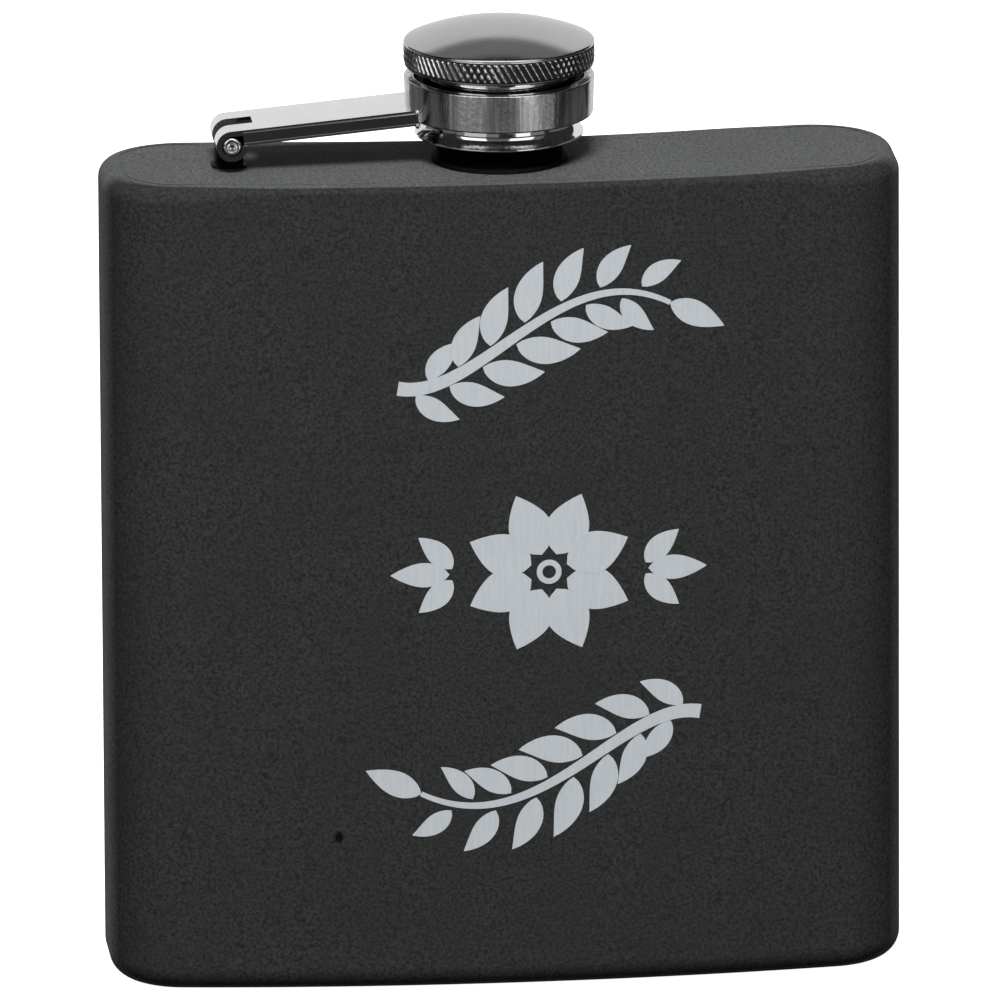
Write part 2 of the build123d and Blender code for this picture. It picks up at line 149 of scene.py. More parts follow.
class Nodes:
    """Builds a node tree with short calls."""

    def __init__(self, tree):
        self.tree = tree
        tree.nodes.clear()

    def add(self, kind, settings=None, **inputs):
        """A new node. Values or sockets go in by input name, with _ for a space."""
        node = self.tree.nodes.new(kind)
        for key, value in (settings or {}).items():
            setattr(node, key, value)
        for key, value in inputs.items():
            self.feed(node, key.replace("_", " "), value)
        return node

    def feed(self, node, name, value):
        """Sets an input, or links a socket to it."""
        socket = node.inputs[name]
        if isinstance(value, bpy.types.NodeSocket):
            self.tree.links.new(value, socket)
        else:
            socket.default_value = value

    def math(self, operation, *values):
        """The result of a maths node."""
        node = self.tree.nodes.new("ShaderNodeMath")
        node.operation = operation
        for index, value in enumerate(values):
            if isinstance(value, bpy.types.NodeSocket):
                self.tree.links.new(value, node.inputs[index])
            else:
                node.inputs[index].default_value = value
        return node.outputs[0]

    def span(self, value, low, high, to_low=0.0, to_high=1.0, smooth=False):
        """A value mapped from one range to another and held at its ends."""
        node = self.tree.nodes.new("ShaderNodeMapRange")
        node.interpolation_type = "SMOOTHSTEP" if smooth else "LINEAR"
        self.tree.links.new(value, node.inputs["Value"])
        for name, number in (
            ("From Min", low),
            ("From Max", high),
            ("To Min", to_low),
            ("To Max", to_high),
        ):
            self.feed(node, name, number)
        return node.outputs["Result"]

    def mix(self, factor, a, b):
        """Two colours mixed."""
        node = self.tree.nodes.new("ShaderNodeMix")
        node.data_type = "RGBA"
        for index, value in ((0, factor), (6, a), (7, b)):
            if isinstance(value, bpy.types.NodeSocket):
                self.tree.links.new(value, node.inputs[index])
            else:
                node.inputs[index].default_value = value
        return node.outputs[2]

    def noise(self, scale, detail=2.0, stretch=(1, 1, 1), roughness=0.5):
        """Noise over the object, in features of 1 / scale metres."""
        place = self.add("ShaderNodeTexCoord").outputs["Object"]
        mapped = self.add("ShaderNodeMapping", Vector=place, Scale=stretch).outputs[0]
        made = self.add(
            "ShaderNodeTexNoise",
            Vector=mapped,
            Scale=scale,
            Detail=detail,
            Roughness=roughness,
        )
        return made.outputs[0]


def new_material(name):
    """An empty material and its tree."""
    material = bpy.data.materials.new(name)
    material.use_nodes = True
    return material, Nodes(material.node_tree)


def finish_material(n, shader):
    """Links the shader to the output."""
    out = n.add("ShaderNodeOutputMaterial")
    n.tree.links.new(shader, out.inputs["Surface"])


def grey(level, tint=0.0):
    """A nearly neutral colour; tint leans it to blue."""
    return (level * (1 - tint), level, level * (1 + tint), 1.0)


def coat_grain(n):
    """The coat's very fine grain, as a value and as a bumped normal."""
    grain = n.noise(2800, detail=3.0, roughness=0.6)
    bump = n.add("ShaderNodeBump", Strength=0.35, Distance=0.00004, Height=grain)
    return grain, bump.outputs[0]


def powder_coat():
    """Matte black powder coat with a fine grain, a faint mottle, rare specks and one nick.

    Its colour is painted lighter as the surface turns from view, a painted sheen that makes the
    top read lighter than the front.
    """
    material, n = new_material("black_coat")
    grain, normal = coat_grain(n)
    mottle = n.noise(90, detail=2.0)
    dark = grey(COAT_LEVEL * 0.5, COAT_TINT)
    light = grey(COAT_LEVEL * 1.5, COAT_TINT)
    dull = grey(COAT_LEVEL * 0.85, COAT_TINT)
    tone = n.mix(n.span(grain, 0.32, 0.68), dark, light)
    tone = n.mix(n.span(mottle, 0.35, 0.65, 0.0, 0.3), tone, dull)
    place = n.add("ShaderNodeTexCoord").outputs["Object"]
    cells = n.add("ShaderNodeTexVoronoi", Vector=place, Scale=95.0)
    chosen = n.add("ShaderNodeSeparateColor", Color=cells.outputs["Color"]).outputs[0]
    dot = n.span(cells.outputs["Distance"], 0.012, 0.02, 1.0, 0.0)
    speck = n.math("MULTIPLY", dot, n.span(chosen, 0.86, 0.87))
    tone = n.mix(n.math("MULTIPLY", speck, 0.5), tone, grey(0.135))
    nick_at = (NICK_X * MM, front_surface(NICK_X) * MM, NICK_Z * MM)
    away = n.add("ShaderNodeVectorMath", {"operation": "DISTANCE"}, Vector=place)
    away.inputs[1].default_value = nick_at
    ragged = n.math("ADD", away.outputs["Value"], n.math("MULTIPLY", grain, 0.0006))
    nick = n.span(ragged, 0.0007, 0.0011, 1.0, 0.0)
    tone = n.mix(nick, tone, grey(0.0045))
    # Painted sheen: the coat's colour is scaled up as the surface turns from view, so the top
    # reads lighter than the front.
    slant = n.add("ShaderNodeLayerWeight", Blend=0.5).outputs["Facing"]
    painted_sheen = n.span(slant, 0.52, 0.74, 1.0, COAT_PAINTED_SHEEN)
    sheen_painted_tone = n.add("ShaderNodeVectorMath", {"operation": "SCALE"}, Vector=tone)
    n.feed(sheen_painted_tone, "Scale", painted_sheen)
    rough = n.span(mottle, 0.3, 0.7, COAT_ROUGH - 0.03, COAT_ROUGH + 0.03)
    shader = n.add(
        "ShaderNodeBsdfPrincipled",
        Base_Color=sheen_painted_tone.outputs[0],
        Roughness=rough,
        Normal=normal,
    )
    n.feed(shader, "Specular IOR Level", COAT_SHEEN)
    finish_material(n, shader.outputs[0])
    return material


def polished_steel(name, level=0.66, rough=0.07, streaks=(1, 1, 0.04), scratch=0.12, wear=0.5):
    """Polished stainless steel with faint drawn lines and handling scuffs."""
    material, n = new_material(name)
    lines = n.noise(2200, detail=3.0, stretch=streaks)
    scuffs = n.noise(900, detail=4.0, stretch=(1, 1, 0.35), roughness=0.7)
    cloud = n.noise(160, detail=2.0)
    tone = n.mix(n.span(cloud, 0.3, 0.7), grey(level * 0.93, 0.005), grey(level, 0.01))
    tone = n.mix(n.span(scuffs, 0.66, 0.74, 0.0, wear), tone, grey(level * 0.6))
    base = n.span(lines, 0.25, 0.75, rough * 0.7, rough * 1.35)
    roughness = n.math("ADD", base, n.span(scuffs, 0.58, 0.75, 0.0, wear * 0.4))
    height = n.math("ADD", lines, n.math("MULTIPLY", scuffs, 0.8))
    bump = n.add("ShaderNodeBump", Strength=scratch, Distance=0.00002, Height=height)
    shader = n.add(
        "ShaderNodeBsdfPrincipled",
        Base_Color=tone,
        Metallic=1.0,
        Roughness=roughness,
        Normal=bump.outputs[0],
    )
    finish_material(n, shader.outputs[0])
    return material


def knurled_steel():
    """Bright steel on the knurl's crests, with painted shade darkening the grooves."""
    material, n = new_material("knurl_steel")
    place = n.add("ShaderNodeTexCoord").outputs["Object"]
    flat = n.add("ShaderNodeVectorMath", {"operation": "MULTIPLY"}, Vector=place)
    flat.inputs[1].default_value = (1, 1, 0)
    radius = n.add("ShaderNodeVectorMath", {"operation": "LENGTH"}, Vector=flat.outputs[0])
    crest_at = (RIM_RADIUS - KNURL_DEPTH * 0.3) * MM
    groove_at = (RIM_RADIUS - KNURL_DEPTH * 0.72) * MM
    # Painted shade: the colour goes from bright on the crests to near black at the bottom of the
    # grooves.
    unshaded_crest = n.span(radius.outputs["Value"], groove_at, crest_at)
    wear = n.noise(1200, detail=3.0)
    bright_tone = n.mix(n.span(wear, 0.3, 0.7), grey(0.70), grey(0.86, 0.005))
    shader = n.add(
        "ShaderNodeBsdfPrincipled",
        Base_Color=n.mix(unshaded_crest, grey(0.07), bright_tone),
        Metallic=1.0,
        Roughness=n.span(unshaded_crest, 0.0, 1.0, 0.4, 0.13),
    )
    finish_material(n, shader.outputs[0])
    return material


def worn_band_steel():
    """The ring's steel: upright rub marks, small dents and dull patches from handling."""
    material, n = new_material("ring_steel")
    rubs = n.noise(1500, detail=3.0, stretch=(1, 1, 0.05), roughness=0.6)
    dents = n.noise(1700, detail=2.0, roughness=0.6)
    patch = n.noise(260, detail=2.0, stretch=(1, 1, 0.4))
    worn = n.span(patch, 0.42, 0.6, 0.15, 1.0, smooth=True)
    tone = n.mix(n.span(rubs, 0.3, 0.7), grey(0.36), grey(0.70))
    height = n.math("ADD", n.math("MULTIPLY", rubs, 0.8), n.math("MULTIPLY", dents, worn))
    bump = n.add("ShaderNodeBump", Strength=0.7, Distance=0.00004, Height=height)
    shader = n.add(
        "ShaderNodeBsdfPrincipled",
        Base_Color=tone,
        Metallic=1.0,
        Roughness=n.span(worn, 0.0, 1.0, 0.10, 0.2),
        Normal=bump.outputs[0],
    )
    finish_material(n, shader.outputs[0])
    return material


def painted_shadow_black():
    """The hinge lug's coat, painted far darker than the body's to stand in for the shadow it sits
    in, and glossier.
    """
    material, n = new_material("painted_shadow_black")
    grain, normal = coat_grain(n)
    # Painted shadow: the tone is a fifth to two fifths of the body's coat.
    tone = n.mix(n.span(grain, 0.32, 0.68), grey(COAT_LEVEL * 0.2), grey(COAT_LEVEL * 0.4))
    shader = n.add(
        "ShaderNodeBsdfPrincipled",
        Base_Color=tone,
        Roughness=n.span(grain, 0.3, 0.7, 0.42, 0.5),
        Normal=normal,
    )
    n.feed(shader, "Specular IOR Level", COAT_SHEEN * 3)
    finish_material(n, shader.outputs[0])
    return material


def neck_material():
    """The neck: black coat on the collar, bare turned steel on the thread above it."""
    material, n = new_material("neck_coat_and_steel")
    place = n.add("ShaderNodeTexCoord").outputs["Object"]
    height = n.add("ShaderNodeSeparateXYZ", Vector=place).outputs["Z"]
    wobble = n.noise(900, detail=2.0)
    edge = n.math("ADD", height, n.span(wobble, 0.3, 0.7, -0.00008, 0.00008))
    line = (SHOULDER + COLLAR_TOP + 0.02) * MM
    bare = n.span(edge, line, line + 0.00006)
    grain, normal = coat_grain(n)
    # The collar is black coat, and it is painted far darker than the body's coat to stand in for
    # the shade under the cap's lip.
    coat = n.mix(n.span(grain, 0.32, 0.68), grey(COAT_LEVEL * 0.15), grey(COAT_LEVEL * 0.3))
    rings = n.noise(3200, detail=2.0, stretch=(0.05, 0.05, 1))
    steel = n.mix(n.span(rings, 0.3, 0.7), grey(0.48), grey(0.6))
    shader = n.add(
        "ShaderNodeBsdfPrincipled",
        Base_Color=n.mix(bare, coat, steel),
        Metallic=bare,
        Roughness=n.span(bare, 0.0, 1.0, COAT_ROUGH, 0.24),
        Normal=normal,
    )
    n.feed(shader, "Specular IOR Level", COAT_SHEEN)
    finish_material(n, shader.outputs[0])
    return material


def rubber():
    """Matte silicone rubber with a fine moulded grain."""
    material, n = new_material("gasket_rubber")
    grain = n.noise(1800, detail=2.0)
    tone = n.mix(n.span(grain, 0.3, 0.7), grey(0.035), grey(0.055))
    bump = n.add("ShaderNodeBump", Strength=0.3, Distance=0.00004, Height=grain)
    shader = n.add(
        "ShaderNodeBsdfPrincipled",
        Base_Color=tone,
        Roughness=n.span(grain, 0.3, 0.7, 0.6, 0.75),
        Normal=bump.outputs[0],
    )
    finish_material(n, shader.outputs[0])
    return material


def etched_steel():
    """Laser-etched steel: flat cool grey with the laser's fine hatching."""
    material, n = new_material("etched_steel")
    hatch = n.noise(3000, detail=1.0, stretch=(1, 1, 0.08))
    grain = n.noise(2400, detail=2.0)
    both = n.math("ADD", hatch, grain)
    tone = n.mix(n.span(both, 0.7, 1.3), (0.490, 0.523, 0.547, 1), (0.547, 0.583, 0.610, 1))
    bump = n.add("ShaderNodeBump", Strength=0.2, Distance=0.00002, Height=both)
    shader = n.add(
        "ShaderNodeBsdfPrincipled",
        Base_Color=tone,
        Metallic=0.15,
        Roughness=n.span(grain, 0.3, 0.7, 0.62, 0.75),
        Normal=bump.outputs[0],
    )
    finish_material(n, shader.outputs[0])
    return material


coat = powder_coat()
bright = polished_steel("polished_steel", level=0.88, rough=0.06)
ring_steel = worn_band_steel()
satin = polished_steel(
    "satin_steel", level=0.50, rough=0.075, streaks=(3, 3, 3), scratch=0.4, wear=0.35
)
knurl_steel = knurled_steel()
bare = polished_steel("bare_steel", level=0.52, rough=0.3, streaks=(0.05, 0.05, 1))
etched = etched_steel()


# ---------------------------------------------------------------- mesh helpers


def add_piece(name, points, faces, body, material, sharp=40.0):
    """Makes a piece from points in millimetres, shades it and puts it on its body."""
    mesh = bpy.data.meshes.new(name)
    mesh.from_pydata([(x * MM, y * MM, z * MM) for x, y, z in points], [], faces)
    work = bmesh.new()
    work.from_mesh(mesh)
    bmesh.ops.remove_doubles(work, verts=work.verts, dist=1e-8)
    bmesh.ops.recalc_face_normals(work, faces=work.faces)
    work.to_mesh(mesh)
    work.free()
    mesh.polygons.foreach_set("use_smooth", [True] * len(mesh.polygons))
    mesh.set_sharp_from_angle(angle=math.radians(sharp))
    mesh.materials.append(material)
    piece = bpy.data.objects.new(name, mesh)
    scene.collection.objects.link(piece)
    piece.modifiers.new("even_normals", "WEIGHTED_NORMAL").keep_sharp = True
    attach(piece, body)
    return piece


def rounded(corners, steps=5):
    """A closed outline with rounded corners; each corner is (across, up, radius)."""
    outline = []
    count = len(corners)
    for index, (across, up, radius) in enumerate(corners):
        here = Vector((across, up))
        if radius <= 0:
            outline.append((across, up))
            continue
        back = (Vector(corners[index - 1][:2]) - here).normalized()
        ahead = (Vector(corners[(index + 1) % count][:2]) - here).normalized()
        half = back.angle(ahead) / 2
        centre = here + (back + ahead).normalized() * (radius / math.sin(half))
        start = here + back * (radius / math.tan(half)) - centre
        end = here + ahead * (radius / math.tan(half)) - centre
        turn = start.angle_signed(end)
        for step in range(steps + 1):
            spoke = start.copy()
            spoke.rotate(Matrix.Rotation(-turn * step / steps, 2))
            outline.append(tuple(centre + spoke))
    return outline


def turned_faces(count, segments, left_out=()):
    """Quads that join closed profiles of count points, one after another round an axis."""
    faces = []
    for turn in range(segments):
        here = turn * count
        there = (turn + 1) % segments * count
        for index in range(count):
            if index not in left_out:
                step = (index + 1) % count
                faces.append((here + index, there + index, there + step, here + step))
    return faces


def lathe(profile, segments, place=None):
    """Points and faces of a closed profile of (radius, height) turned round an axis."""
    points = []
    for turn in range(segments):
        angle = TAU * turn / segments
        for radius, height in profile:
            point = Vector((radius * math.cos(angle), radius * math.sin(angle), height))
            points.append(tuple(place @ point if place else point))
    count = len(profile)
    on_axis = [
        index
        for index in range(count)
        if max(profile[index][0], profile[(index + 1) % count][0]) < 1e-6
    ]
    return points, turned_faces(count, segments, on_axis)


def above(profile):
    """A profile given from the shoulder, lifted to its height from the base."""
    return [(radius, height + SHOULDER) for radius, height in profile]


# ---------------------------------------------------------------- body


def body_outline():
    """The body's section: (point, outward normal) pairs, anticlockwise from above."""
    half = HALF_WIDTH - END_RADIUS
    front_centre = Vector((0, FRONT_RADIUS - SECTION_DEPTH / 2 + SECTION_MIDDLE))
    back_centre = Vector((0, BACK_RADIUS + SECTION_DEPTH / 2 + SECTION_MIDDLE))
    front_angle = math.asin(half / (FRONT_RADIUS - END_RADIUS))
    back_angle = math.asin(half / (BACK_RADIUS + END_RADIUS))

    def spoke(angle):
        return Vector((math.sin(angle), -math.cos(angle)))

    front_corner = front_centre + spoke(front_angle) * (FRONT_RADIUS - END_RADIUS)
    back_corner = back_centre + spoke(back_angle) * (BACK_RADIUS + END_RADIUS)
    right = []
    for step in range(80):
        angle = front_angle * step / 80
        right.append((front_centre + spoke(angle) * FRONT_RADIUS, spoke(angle)))
    for step in range(40):
        angle = front_angle + (math.pi / 2 - front_angle) * step / 40
        right.append((front_corner + spoke(angle) * END_RADIUS, spoke(angle)))
    for step in range(6):
        side = front_corner.lerp(back_corner, step / 6)
        right.append((Vector((HALF_WIDTH, side.y)), Vector((1, 0))))
    for step in range(40):
        angle = math.pi / 2 + (math.pi / 2 + back_angle) * step / 40
        right.append((back_corner + spoke(angle) * END_RADIUS, spoke(angle)))
    for step in range(81):
        angle = back_angle * (1 - step / 80)
        right.append((back_centre + spoke(angle) * BACK_RADIUS, -spoke(angle)))
    left = [
        (Vector((-point.x, point.y)), Vector((-normal.x, normal.y)))
        for point, normal in reversed(right[1:-1])
    ]
    return right + left


section = body_outline()


def endness(x):
    """0 over the body's middle, rising to 1 at its two ends."""
    t = min(max((abs(x) - 26) / 17, 0), 1)
    return t * t * (3 - 2 * t)


def skirt(rings, close):
    """Rings of (inset, height) functions round the section, joined by quads."""
    count = len(section)
    points = []
    faces = []
    for ring in rings:
        for point, normal in section:
            inset, height = ring(endness(point.x))
            spot = point - normal * inset
            points.append((spot.x, spot.y, height))
    pairs = list(zip(range(len(rings)), range(1, len(rings))))
    if close:
        pairs.append((len(rings) - 1, 0))
    for low, high in pairs:
        for index in range(count):
            after = (index + 1) % count
            faces.append(
                (
                    low * count + index,
                    low * count + after,
                    high * count + after,
                    high * count + index,
                )
            )
    return points, faces


def flat(inset, height):
    """A ring of the skirt at one inset and height all round."""
    return lambda end: (inset, height)


def build_wall():
    """The wrapped wall, its top edge rolled over tightly in front and broadly at the ends."""

    def radius(end):
        return 0.75 + 1.35 * end

    def arc(outer, step, steps):
        def ring(end):
            size = radius(end) - (0 if outer else WALL)
            size = max(size, 0.15)
            depth = 0 if outer else WALL
            angle = math.pi / 2 * step / steps
            inset = depth + size * (1 - math.cos(angle))
            return inset, SHOULDER - depth - size * (1 - math.sin(angle))

        return ring

    def lip_drop(end):
        return 0.03 + 0.10 * end

    straight = SHOULDER - WALL_FOOT - 4
    rings = [flat(0, WALL_FOOT)]
    rings += [flat(0, WALL_FOOT + straight * step / 12) for step in range(1, 13)]
    rings += [arc(True, step, 10) for step in range(11)]
    rings += [
        lambda end: (SHOULDER_LIP - 0.22, SHOULDER),
        lambda end: (SHOULDER_LIP - 0.07, SHOULDER - lip_drop(end) * 0.4),
        lambda end: (SHOULDER_LIP, SHOULDER - lip_drop(end)),
        flat(SHOULDER_LIP, SHOULDER - WALL),
    ]
    rings += [arc(False, 6 - step, 6) for step in range(7)]
    rings += [flat(WALL, WALL_FOOT)]
    points, faces = skirt(rings, close=True)
    piece = add_piece("coated_wall", points, faces, "flask", coat)
    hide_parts("body_shell")


def build_base():
    """The base pan: a broad rounded edge and a flat floor."""

    def arc(depth, step, steps):
        size = BASE_EDGE - depth
        angle = math.pi / 2 * step / steps
        inset = depth + size * (1 - math.cos(angle))
        height = depth + size * (1 - math.sin(angle))
        return flat(inset, height)

    deep = END_RADIUS - 0.2
    rings = [flat(deep, WALL), flat(BASE_EDGE + 1, WALL)]
    rings += [arc(WALL, 8 - step, 8) for step in range(9)]
    rings += [flat(WALL, WALL_FOOT), flat(0, WALL_FOOT)]
    rings += [arc(0, step, 14) for step in range(15)]
    rings += [flat(BASE_EDGE + 1, 0), flat(deep, 0)]
    points, faces = skirt(rings, close=False)
    count = len(section)
    faces.append(tuple(range(count)))
    faces.append(tuple(range(len(points) - count, len(points))))
    piece = add_piece("coated_base", points, faces, "flask", coat)
    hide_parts("base_pan")


def build_shoulder_weld():
    """The weld that fills the joint round the shoulder plate, sunk a little at the ends."""
    half = 0.2

    def ring(across, up):
        def place(end):
            crown = 0.012 - 0.075 * end
            return SHOULDER_LIP + across, SHOULDER + (crown if up else -0.2)

        return place

    rings = [
        ring(-half, False),
        ring(-half * 0.8, True),
        ring(0, True),
        ring(half * 0.8, True),
        ring(half, False),
    ]
    points, faces = skirt(rings, close=True)
    add_piece("shoulder_weld", points, faces, "flask", coat)


build_wall()
build_base()
build_shoulder_weld()


# ---------------------------------------------------------------- cap


def ridge(turn):
    """1 on each tooth's crest, falling straight to 0 halfway to the next."""
    return min(1.12 * (1 - 2 * abs(turn - round(turn))), 1)


def knurl_height(turn, up, crossing):
    """The knurl's height, 0 to 1. turn counts teeth, up is in millimetres, crossing is 0 to 1."""
    main = ridge(turn + up * KNURL_LEAN)
    cross = ridge(turn - up * KNURL_LEAN)
    return min(main, 1 - crossing * (1 - cross))


def build_rim():
    """The cap's rim, with its diamond knurl cut as geometry."""
    segments = KNURL_TEETH * 12
    rows = 22
    lower = rounded(
        [
            (RIM_ROLL_RADIUS, RIM_BOTTOM, 0.12),
            (11.05, RIM_BOTTOM, 0.15),
            (RIM_RADIUS, KNURL_BOTTOM - 0.04, 0.08),
            (RIM_RADIUS - KNURL_DEPTH, KNURL_BOTTOM + 0.02, 0),
        ]
    )[:-1]
    upper = rounded(
        [
            (RIM_RADIUS - KNURL_DEPTH, KNURL_TOP - 0.02, 0),
            (RIM_RADIUS, KNURL_TOP + 0.02, 0.02),
            (RIM_RADIUS, RIM_TOP, 0.04),
            (RIM_INNER_RADIUS, RIM_TOP, 0.05),
            (RIM_INNER_RADIUS, RIM_ROLL_TOP, 0),
            (RIM_ROLL_RADIUS, RIM_ROLL_TOP, 0.1),
        ]
    )[1:]
    points = []
    for turn in range(segments):
        angle = TAU * turn / segments
        ring = list(lower)
        crossing = 0.15 + 0.75 * max(math.sin(KNURL_DRIFTS * angle + 0.4), 0)
        for row in range(rows + 1):
            height = KNURL_BOTTOM + (KNURL_TOP - KNURL_BOTTOM) * row / rows
            tooth = turn * KNURL_TEETH / segments
            fade = min(row, rows - row, 2) / 2
            raised = knurl_height(tooth, height - KNURL_BOTTOM, crossing) * fade
            ring.append((RIM_RADIUS - KNURL_DEPTH * (1 - raised), height))
        ring += upper
        across, along = math.cos(angle), math.sin(angle)
        points += [(radius * across, radius * along, height) for radius, height in above(ring)]
    faces = turned_faces(len(ring), segments)
    piece = add_piece(
        "knurled_rim", points, faces, "cap", knurl_steel, sharp=60
    )
    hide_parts("cap_rim")


def build_dome():
    """The cap's domed disc, its edge rolled down on to the rim."""
    rise = DOME_TOP - DOME_EDGE
    sphere = (DOME_RADIUS**2 + rise**2) / (2 * rise)
    centre = DOME_TOP - sphere
    full = math.asin((DOME_RADIUS - 0.16) / sphere)
    steps = 36
    outer = []
    for step in range(steps + 1):
        angle = full * step / steps
        outer.append((sphere * math.sin(angle), centre + sphere * math.cos(angle)))
    edge_up = outer[-1][1]
    edge = [
        (DOME_RADIUS - 0.09, edge_up - 0.045),
        (DOME_RADIUS - 0.03, edge_up - 0.10),
        (DOME_RADIUS, edge_up - 0.17),
        (DOME_RADIUS, RIM_TOP),
    ]
    inner = []
    inside = sphere - 0.6
    reach = math.acos((RIM_TOP - centre) / inside)
    for step in range(13):
        angle = reach * (1 - step / 12)
        inner.append((inside * math.sin(angle), centre + inside * math.cos(angle)))
    points, faces = lathe(above(outer + edge + inner), 256)
    piece = add_piece("domed_top", points, faces, "cap", satin)
    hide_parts("cap_dome")


def build_sleeve():
    """The polished sleeve: a flange inside the rim, a straight skirt and a trumpet lip."""
    flare = []
    for step in range(15):
        t = step / 14
        flare.append((SLEEVE_RADIUS + 0.98 * t**2.2, LIP_FLARE_TOP - 1.38 * t, 0))
    under = [
        (radius - 0.42 - 0.1 * step / 8, up - 0.3, 0) for step, (radius, up, _) in enumerate(flare)
    ]
    flange_bottom = RIM_ROLL_TOP + 0.02
    corners = [
        (SLEEVE_INNER_RADIUS, SLEEVE_FLANGE_TOP, 0),
        (SLEEVE_FLANGE_RADIUS, SLEEVE_FLANGE_TOP, 0.1),
        (SLEEVE_FLANGE_RADIUS, flange_bottom, 0.1),
        (SLEEVE_RADIUS, flange_bottom, 0),
    ]
    corners += flare
    corners += [(10.07, LIP_BOTTOM, 0.14), (9.7, LIP_BOTTOM, 0.1)]
    corners += [
        corner
        for corner in reversed(under)
        if corner[0] > SLEEVE_INNER_RADIUS + 0.05 and corner[1] < LIP_FLARE_TOP - 0.6
    ]
    corners += [(SLEEVE_INNER_RADIUS, LIP_FLARE_TOP - 0.4, 0)]
    points, faces = lathe(above(rounded(corners)), 256)
    piece = add_piece("polished_sleeve", points, faces, "cap", bright)
    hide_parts("cap_sleeve")


build_rim()
build_dome()
build_sleeve()


# ---------------------------------------------------------------- ring, arm and hinge


def build_ring():
    """The captive ring: a rolled band with softened edges and an inner ledge."""
    corners = [
        (RING_LEDGE_RADIUS, RING_BOTTOM, 0.2),
        (RING_FOOT_RADIUS, RING_BOTTOM, 0.28),
        (RING_RADIUS, RING_TOP, 0.2),
        (RING_INNER_RADIUS, RING_TOP, 0.25),
        (RING_INNER_RADIUS, RING_BOTTOM + RING_LEDGE, 0.3),
        (RING_LEDGE_RADIUS, RING_BOTTOM + RING_LEDGE, 0.2),
    ]
    points, faces = lathe(above(rounded(corners, 7)), 288)
    piece = add_piece("captive_band", points, faces, "arm", ring_steel)
    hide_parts("captive_ring")


def build_pin():
    """The hinge pin: a semi-tubular rivet with hollow, rounded ends."""
    end = ARM_HALF_WIDTH + PIN_REACH
    half = [
        (0, end - PIN_HOLLOW_DEPTH, 0),
        (PIN_HOLLOW_RADIUS - 0.06, end - PIN_HOLLOW_DEPTH + 0.1, 0.1),
        (PIN_HOLLOW_RADIUS, end, 0.12),
        (PIN_RADIUS, end - 0.04, 0.22),
    ]
    mirrored = [(radius, -up, size) for radius, up, size in reversed(half)]
    profile = rounded(half + mirrored)
    along_y = Matrix.Rotation(math.pi / 2, 4, "X")
    place = Matrix.Translation((PIN_X, 0, SHOULDER + PIN_Z)) @ along_y
    points, faces = lathe(profile, 96, place)
    piece = add_piece("hinge_rivet", points, faces, "flask", bright)
    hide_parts("hinge_pin")


def build_arm_welds():
    """Four small weld beads where the arm's flanges meet the ring."""
    reach = math.sqrt(RING_FOOT_RADIUS**2 - ARM_HALF_WIDTH**2)
    along = -PIN_X - reach
    web_top = PIN_Z + along * math.tan(ARM_SLOPE) + CURL_RADIUS / math.cos(ARM_SLOPE)
    bead = []
    for step in range(13):
        angle = math.pi * step / 12
        bead.append((0.34 * math.sin(angle), 0.42 * math.cos(angle)))
    points = []
    faces = []
    for side in (1, -1):
        for up in (web_top - 0.35, web_top - ARM_FLANGE_DEPTH + 0.1):
            spot = (-reach - 0.05, side * (ARM_HALF_WIDTH - 0.1), SHOULDER + up)
            more_points, more_faces = lathe(bead, 24, Matrix.Translation(spot))
            start = len(points)
            points += more_points
            faces += [tuple(start + index for index in face) for face in more_faces]
    add_piece("arm_welds", points, faces, "arm", bright)


def soften(node, width, material):
    """Rounds a CAD node's edges with modifiers and gives it a finish."""
    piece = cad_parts[node]
    piece.data.materials.clear()
    piece.data.materials.append(material)
    weld = piece.modifiers.new("joined", "WELD")
    weld.merge_threshold = 1e-6
    bevel = piece.modifiers.new("soft_edges", "BEVEL")
    bevel.width = width * MM
    bevel.segments = 3
    bevel.limit_method = "ANGLE"
    bevel.angle_limit = math.radians(40)
    bevel.harden_normals = False
    piece.modifiers.new("even_normals", "WEIGHTED_NORMAL").keep_sharp = True


def refinish(node, material):
    """Gives a CAD node a finish."""
    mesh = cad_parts[node].data
    mesh.materials.clear()
    mesh.materials.append(material)


build_ring()
build_pin()
build_arm_welds()
soften("captive_arm", 0.1, bright)
soften("hinge_lug", 0.12, painted_shadow_black())
refinish("shoulder_plate", coat)
refinish("neck", neck_material())
refinish("thread_insert", bare)
refinish("cap_gasket", rubber())


# ---------------------------------------------------------------- etched ornament


